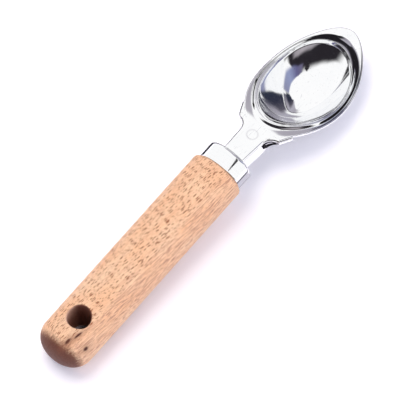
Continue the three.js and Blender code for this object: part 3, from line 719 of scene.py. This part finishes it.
# Resin round the tang
# Cured amber resin that was poured into the drilled bore and holds the tang there. It is hidden by the wood, and keeps
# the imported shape.
amber, resin = new_material("cured_amber_resin")
place = add(resin, "TexCoord").outputs["Object"]
cloud = add(resin, "TexNoise", {"Vector": place, "Scale": 180, "Detail": 4}).outputs[0]
bubble = add(resin, "TexVoronoi", {"Vector": place, "Scale": 700}).outputs[0]
bubbles = add(resin, "MapRange", {"Value": bubble, "From Min": 0.1, "From Max": 0.2,
                                  "To Min": 1, "To Max": 0}).outputs[0]
tone = add(resin, "Mix", {0: cloud, 6: linear("#C9B27A"), 7: linear("#A08748")}, data_type="RGBA").outputs[2]
tone = add(resin, "Mix", {0: bubbles, 6: tone, 7: linear("#DCCB9C")}, data_type="RGBA").outputs[2]
gloss = add(resin, "MapRange", {"Value": cloud, "To Min": 0.25, "To Max": 0.45}).outputs[0]
pits = add(resin, "Bump", {"Height": bubbles, "Strength": 1, "Distance": -0.05 * MM}).outputs[0]
cured = add(resin, "BsdfPrincipled", {"Base Color": tone, "Roughness": gloss, "Normal": pits})
add(resin, "OutputMaterial", {"Surface": cured.outputs[0]})
adhesive = frame["nodes"]["tang_adhesive"]
adhesive.data.materials.clear()
adhesive.data.materials.append(amber)

# Studio
# A plain white floor under a soft lamp at the left, in a white room. Dark and grey cards stand round it, where only the
# polished steel sees them, because a mirror takes its shape from what it reflects.
floor_mesh = bpy.data.meshes.new("floor")
floor_mesh.from_pydata([(-3, -3, 0), (3, -3, 0), (3, 3, 0), (-3, 3, 0)], [], [(0, 1, 2, 3)])
floor = bpy.data.objects.new("floor", floor_mesh)
scene.collection.objects.link(floor)


def seen_rays(tree):
    """One for the rays that show the background, straight or in steel, and zero for those that only carry light."""
    path = add(tree, "LightPath").outputs
    seen = add(tree, "Math", {0: path["Is Camera Ray"], 1: path["Is Glossy Ray"]}, operation="MAXIMUM").outputs[0]
    return add(tree, "Math", {0: seen, 1: path["Is Transmission Ray"]}, operation="MAXIMUM").outputs[0]


# White matte paper, with painted shade where it is shut in under the scoop and in the hang hole, and a painted glow,
# seen only by the camera and the steel, that lifts it to white in the open and fades where it is shut in
white_matte, sheet = new_material("white_matte")
seen = seen_rays(sheet)
open_sky = add(sheet, "AmbientOcclusion", {"Distance": 0.03}).outputs["AO"]
painted_shade = add(sheet, "MapRange", {"Value": open_sky, "From Min": 0.2, "From Max": 0.3}).outputs[0]
# Painted shade: the paper turns dark brown where little of the room can be seen from it
paper = add(sheet, "Mix", {0: painted_shade, 6: linear("#2A211E"), 7: linear("#FBFBFC")}, data_type="RGBA").outputs[2]
matte = add(sheet, "BsdfDiffuse", {"Color": paper}).outputs[0]
# Painted glow: the more open the paper is, the stronger it glows
open_sky = add(sheet, "MapRange", {"Value": open_sky, "From Min": 0.2, "From Max": 0.52, "To Max": 0.28}).outputs[0]
lift = add(sheet, "Math", {0: seen, 1: open_sky}, operation="MULTIPLY").outputs[0]
lift = add(sheet, "Emission", {"Color": linear("#ECECFF"), "Strength": lift}).outputs[0]
add(sheet, "OutputMaterial", {"Surface": add(sheet, "AddShader", {0: matte, 1: lift}).outputs[0]})
floor.data.materials.append(white_matte)

card_middle = Vector((0.07, 0, 0.012))
CARD_ROWS = 24


def stand(name, mesh):
    """Stands a card in the studio where only mirrors see it."""
    made = bpy.data.objects.new(name, mesh)
    scene.collection.objects.link(made)
    made.visible_camera = made.visible_diffuse = made.visible_shadow = made.visible_transmission = False


def card(name, distance, soft, colours, stations):
    """A curved card round the bowl, painted from the first colour to the last along its length. Stations are (azimuth,
    lower and upper elevation), in degrees from +X and the level. Soft gives the shares of the card over which it fades
    out: at the foot, the head, the start and the end."""
    turns = np.array([station[0] for station in stations], float)
    steps = np.linspace(turns[0], turns[-1], max(8, int((turns[-1] - turns[0]) / 2)))
    low, high = (np.radians(np.interp(steps, turns, [station[k] for station in stations])) for k in (1, 2))
    spread = np.linspace(turns[0], turns[-1], len(colours))
    paints = np.array([linear(colour)[:3] for colour in colours])
    paints = np.column_stack([np.interp(steps, spread, paints[:, k]) for k in range(3)])
    points, paint = [], []
    for u, step in enumerate(np.radians(steps)):
        along = u / (len(steps) - 1)
        for up in np.linspace(0, 1, CARD_ROWS):
            tilt = low[u] + (high[u] - low[u]) * up
            way = Vector((math.cos(tilt) * math.cos(step), math.cos(tilt) * math.sin(step), math.sin(tilt)))
            points.append(card_middle + way * distance)
            edges = zip((up, 1 - up, along, 1 - along), soft)
            cover = min(float(smooth_step(place, 0, share)) if share else 1.0 for place, share in edges)
            paint += [*paints[u], cover]
    n = CARD_ROWS
    corners = [n * u + k for u in range(len(steps) - 1) for k in range(n - 1)]
    faces = [(c, c + 1, c + n + 1, c + n) for c in corners]
    mesh = bpy.data.meshes.new(name)
    mesh.from_pydata(points, [], faces)
    mesh.attributes.new("paint", "FLOAT_COLOR", "POINT").data.foreach_set("color", paint)
    paper, tree = new_material(name)
    painted = add(tree, "Attribute", attribute_name="paint")
    shown = add(tree, "Emission", {"Color": painted.outputs["Color"]}).outputs[0]
    clear = add(tree, "BsdfTransparent").outputs[0]
    faded = add(tree, "MixShader", {0: painted.outputs["Alpha"], 1: clear, 2: shown}).outputs[0]
    add(tree, "OutputMaterial", {"Surface": faded})
    mesh.materials.append(paper)
    stand(name, mesh)


FAR = 1.2
card("black_card", FAR, (0, 0.22, 0.15, 0.05), ["#28252A"], [
    (135, 2, 14), (150, 2, 24), (165, 2, 35), (190, 2, 46), (215, 2, 52), (235, 2, 53), (252, 2, 48), (266, 2, 33),
    (278, 2, 10)])
card("pale_card", FAR - 0.1, (0.3, 0.3, 0.2, 0.2), ["#8E8A90", "#B0AAB0", "#908A90"], [
    (198, 10, 20), (215, 10, 28), (245, 10, 27), (265, 10, 20)])
card("blue_card", 0.07, (0.25, 0.12, 0.1, 0.06), ["#706C80", "#64628A", "#949CC0", "#8C8CA6"], [
    (228, 43, 54), (250, 38, 55), (270, 26, 50), (290, 12, 43), (315, 14, 41)])
card("navy_card", 0.04, (0.3, 0.12, 0.08, 0.3), ["#2C3342", "#2E3042", "#5A5763", "#B0ACB6"], [
    (313, 22, 40), (322, 22, 51), (332, 26, 57), (340, 28, 65), (348, 30, 58), (366, 30, 45)])
card("grey_card", FAR, (0.06, 0.12, 0.02, 0.16), ["#5C5C6A", "#9E9AA5", "#AFACB8", "#A8A4AE", "#D2D0D6"], [
    (314, 12, 34), (328, 13, 58), (345, 14, 67), (366, 16, 62), (390, 18, 51), (408, 20, 46)])
card("skirting_card", 0.048, (0, 0.1, 0, 0), ["#1E1C20"], [
    (240, -14, 2), (262, -14, 12), (285, -14, 12), (300, -14, 4), (322, -14, 18), (345, -14, 24), (400, -14, 24),
    (450, -14, 12), (484, -14, 9), (492, -14, 14), (505, -14, 12), (512, -14, 4)])


def panel(name, colour, corners):
    """A small flat card. Corners are in millimetres."""
    mesh = bpy.data.meshes.new(name)
    mesh.from_pydata([Vector(corner) * MM for corner in corners], [], [tuple(range(len(corners)))])
    paper, tree = new_material(name)
    add(tree, "OutputMaterial", {"Surface": add(tree, "Emission", {"Color": linear(colour)}).outputs[0]})
    mesh.materials.append(paper)
    stand(name, mesh)


panel("streak_panel", "#2A282C", [
    (20, -35.2, 70), (20.5, -33.4, 70), (28, -23, 70), (37, -22, 70), (36, -33, 70), (28, -37.5, 70)])
# A dark sheet in the notch under the ear: painted shade, which only the steel sees
panel("ear_painted_shade_panel", "#1E1C20", [(33.6, -10.4, 17.4), (33.6, -10.9, 15.6), (36.8, -11.8, 15.6), (36.8, -11.4, 17.2)])
panel("left_panel", "#3A3840", [(-15, 38, 0), (45, 38, 0), (45, 38, 10), (-15, 38, 10)])
panel("right_panel", "#6A6870", [(-15, -40, 5), (42, -40, 5), (42, -40, 12), (-15, -40, 12)])
panel("far_panel", "#1E1C20", [
    (126, 12, 0.5), (135, 60, 0.5), (110, 105, 0.5), (70, 115, 0.5), (30, 95, 0.5), (16, 45, 0.5), (44, 25, 0.5),
    (60, 26, 0.5), (80, 26, 0.5), (98, 20, 0.5), (108, 8, 0.5)])
# A grey sheet on the floor under the ferrule and neck: painted shade, which only the steel sees
panel("painted_shade_panel", "#8A8690", [(-14, -14, 0.6), (34, -12, 0.6), (34, 4, 0.6), (-14, 6, 0.6)])
# A pale violet sheet on the floor at the right of the ferrule: a painted shadow, which only the steel sees
panel("painted_shadow_panel", "#D2CEDC", [(-5, -48, 0.5), (30, -48, 0.5), (30, -8, 0.5), (-5, -8, 0.5)])

# The main lamp stands high at the left, as large as a window, and a low weak one at the right softens the shadow
LAMP_DISTANCE = 1.5
lamps = [("window_lamp", 14, 0.9, (0, 0.27, 0.96), "#FFF8F2"), ("side_lamp", 7, 1.2, (0.1, -0.9, 0.4), "#F8F6FF")]
for name, energy, size, way, colour in lamps:
    lamp = bpy.data.lights.new(name, "AREA")
    lamp.shape = "RECTANGLE"
    lamp.size, lamp.size_y = size, size
    lamp.energy = energy
    lamp.color = linear(colour)[:3]
    lit = bpy.data.objects.new(name, lamp)
    scene.collection.objects.link(lit)
    way = Vector(way).normalized()
    lit.location = way * LAMP_DISTANCE
    lit.rotation_euler = way.to_track_quat("Z", "Y").to_euler()
    lit.visible_glossy = False
    lit.visible_camera = False

# White room: white to the eye and to the steel, a cooler and weaker fill to everything else
room = bpy.data.worlds.new("white_room")
scene.world = room
room.use_nodes = True
air = room.node_tree
air.nodes.clear()
seen = seen_rays(air)
height = add(air, "SeparateXYZ", {0: add(air, "TexCoord").outputs["Generated"]}).outputs[2]
strength = add(air, "MapRange", {"Value": height, "To Min": 0.95, "To Max": 0.2}).outputs[0]
fill = add(air, "Background", {"Color": linear("#ECECFF"), "Strength": strength})
white = add(air, "Background", {"Color": linear("#FFFFFF"), "Strength": 1})
both = add(air, "MixShader", {0: seen, 1: fill.outputs[0], 2: white.outputs[0]})
add(air, "OutputWorld", {"Surface": both.outputs[0]})

# Camera
# A long lens from high up on the right of the handle, which keeps the scoop's lines nearly parallel. It is set out
# beside the scoop before that is laid down, and is laid down with it.
camera = bpy.data.objects.new("camera", bpy.data.cameras.new("camera"))
scene.collection.objects.link(camera)
scene.camera = camera
azimuth, elevation = math.radians(310.25), math.radians(60.5)
back = Vector((math.sin(azimuth) * math.cos(elevation), -math.cos(azimuth) * math.cos(elevation), math.sin(elevation)))
right = Vector((math.cos(azimuth), math.sin(azimuth), 0))
up = back.cross(right)
aim = on_axis.translation - right * 14.24 * MM - up * 18.84 * MM
level_view = Matrix((right, up, back)).transposed().to_4x4()
level_view.translation = aim + back * 2.5
camera.matrix_world = laid @ level_view
camera.data.lens = 501.5
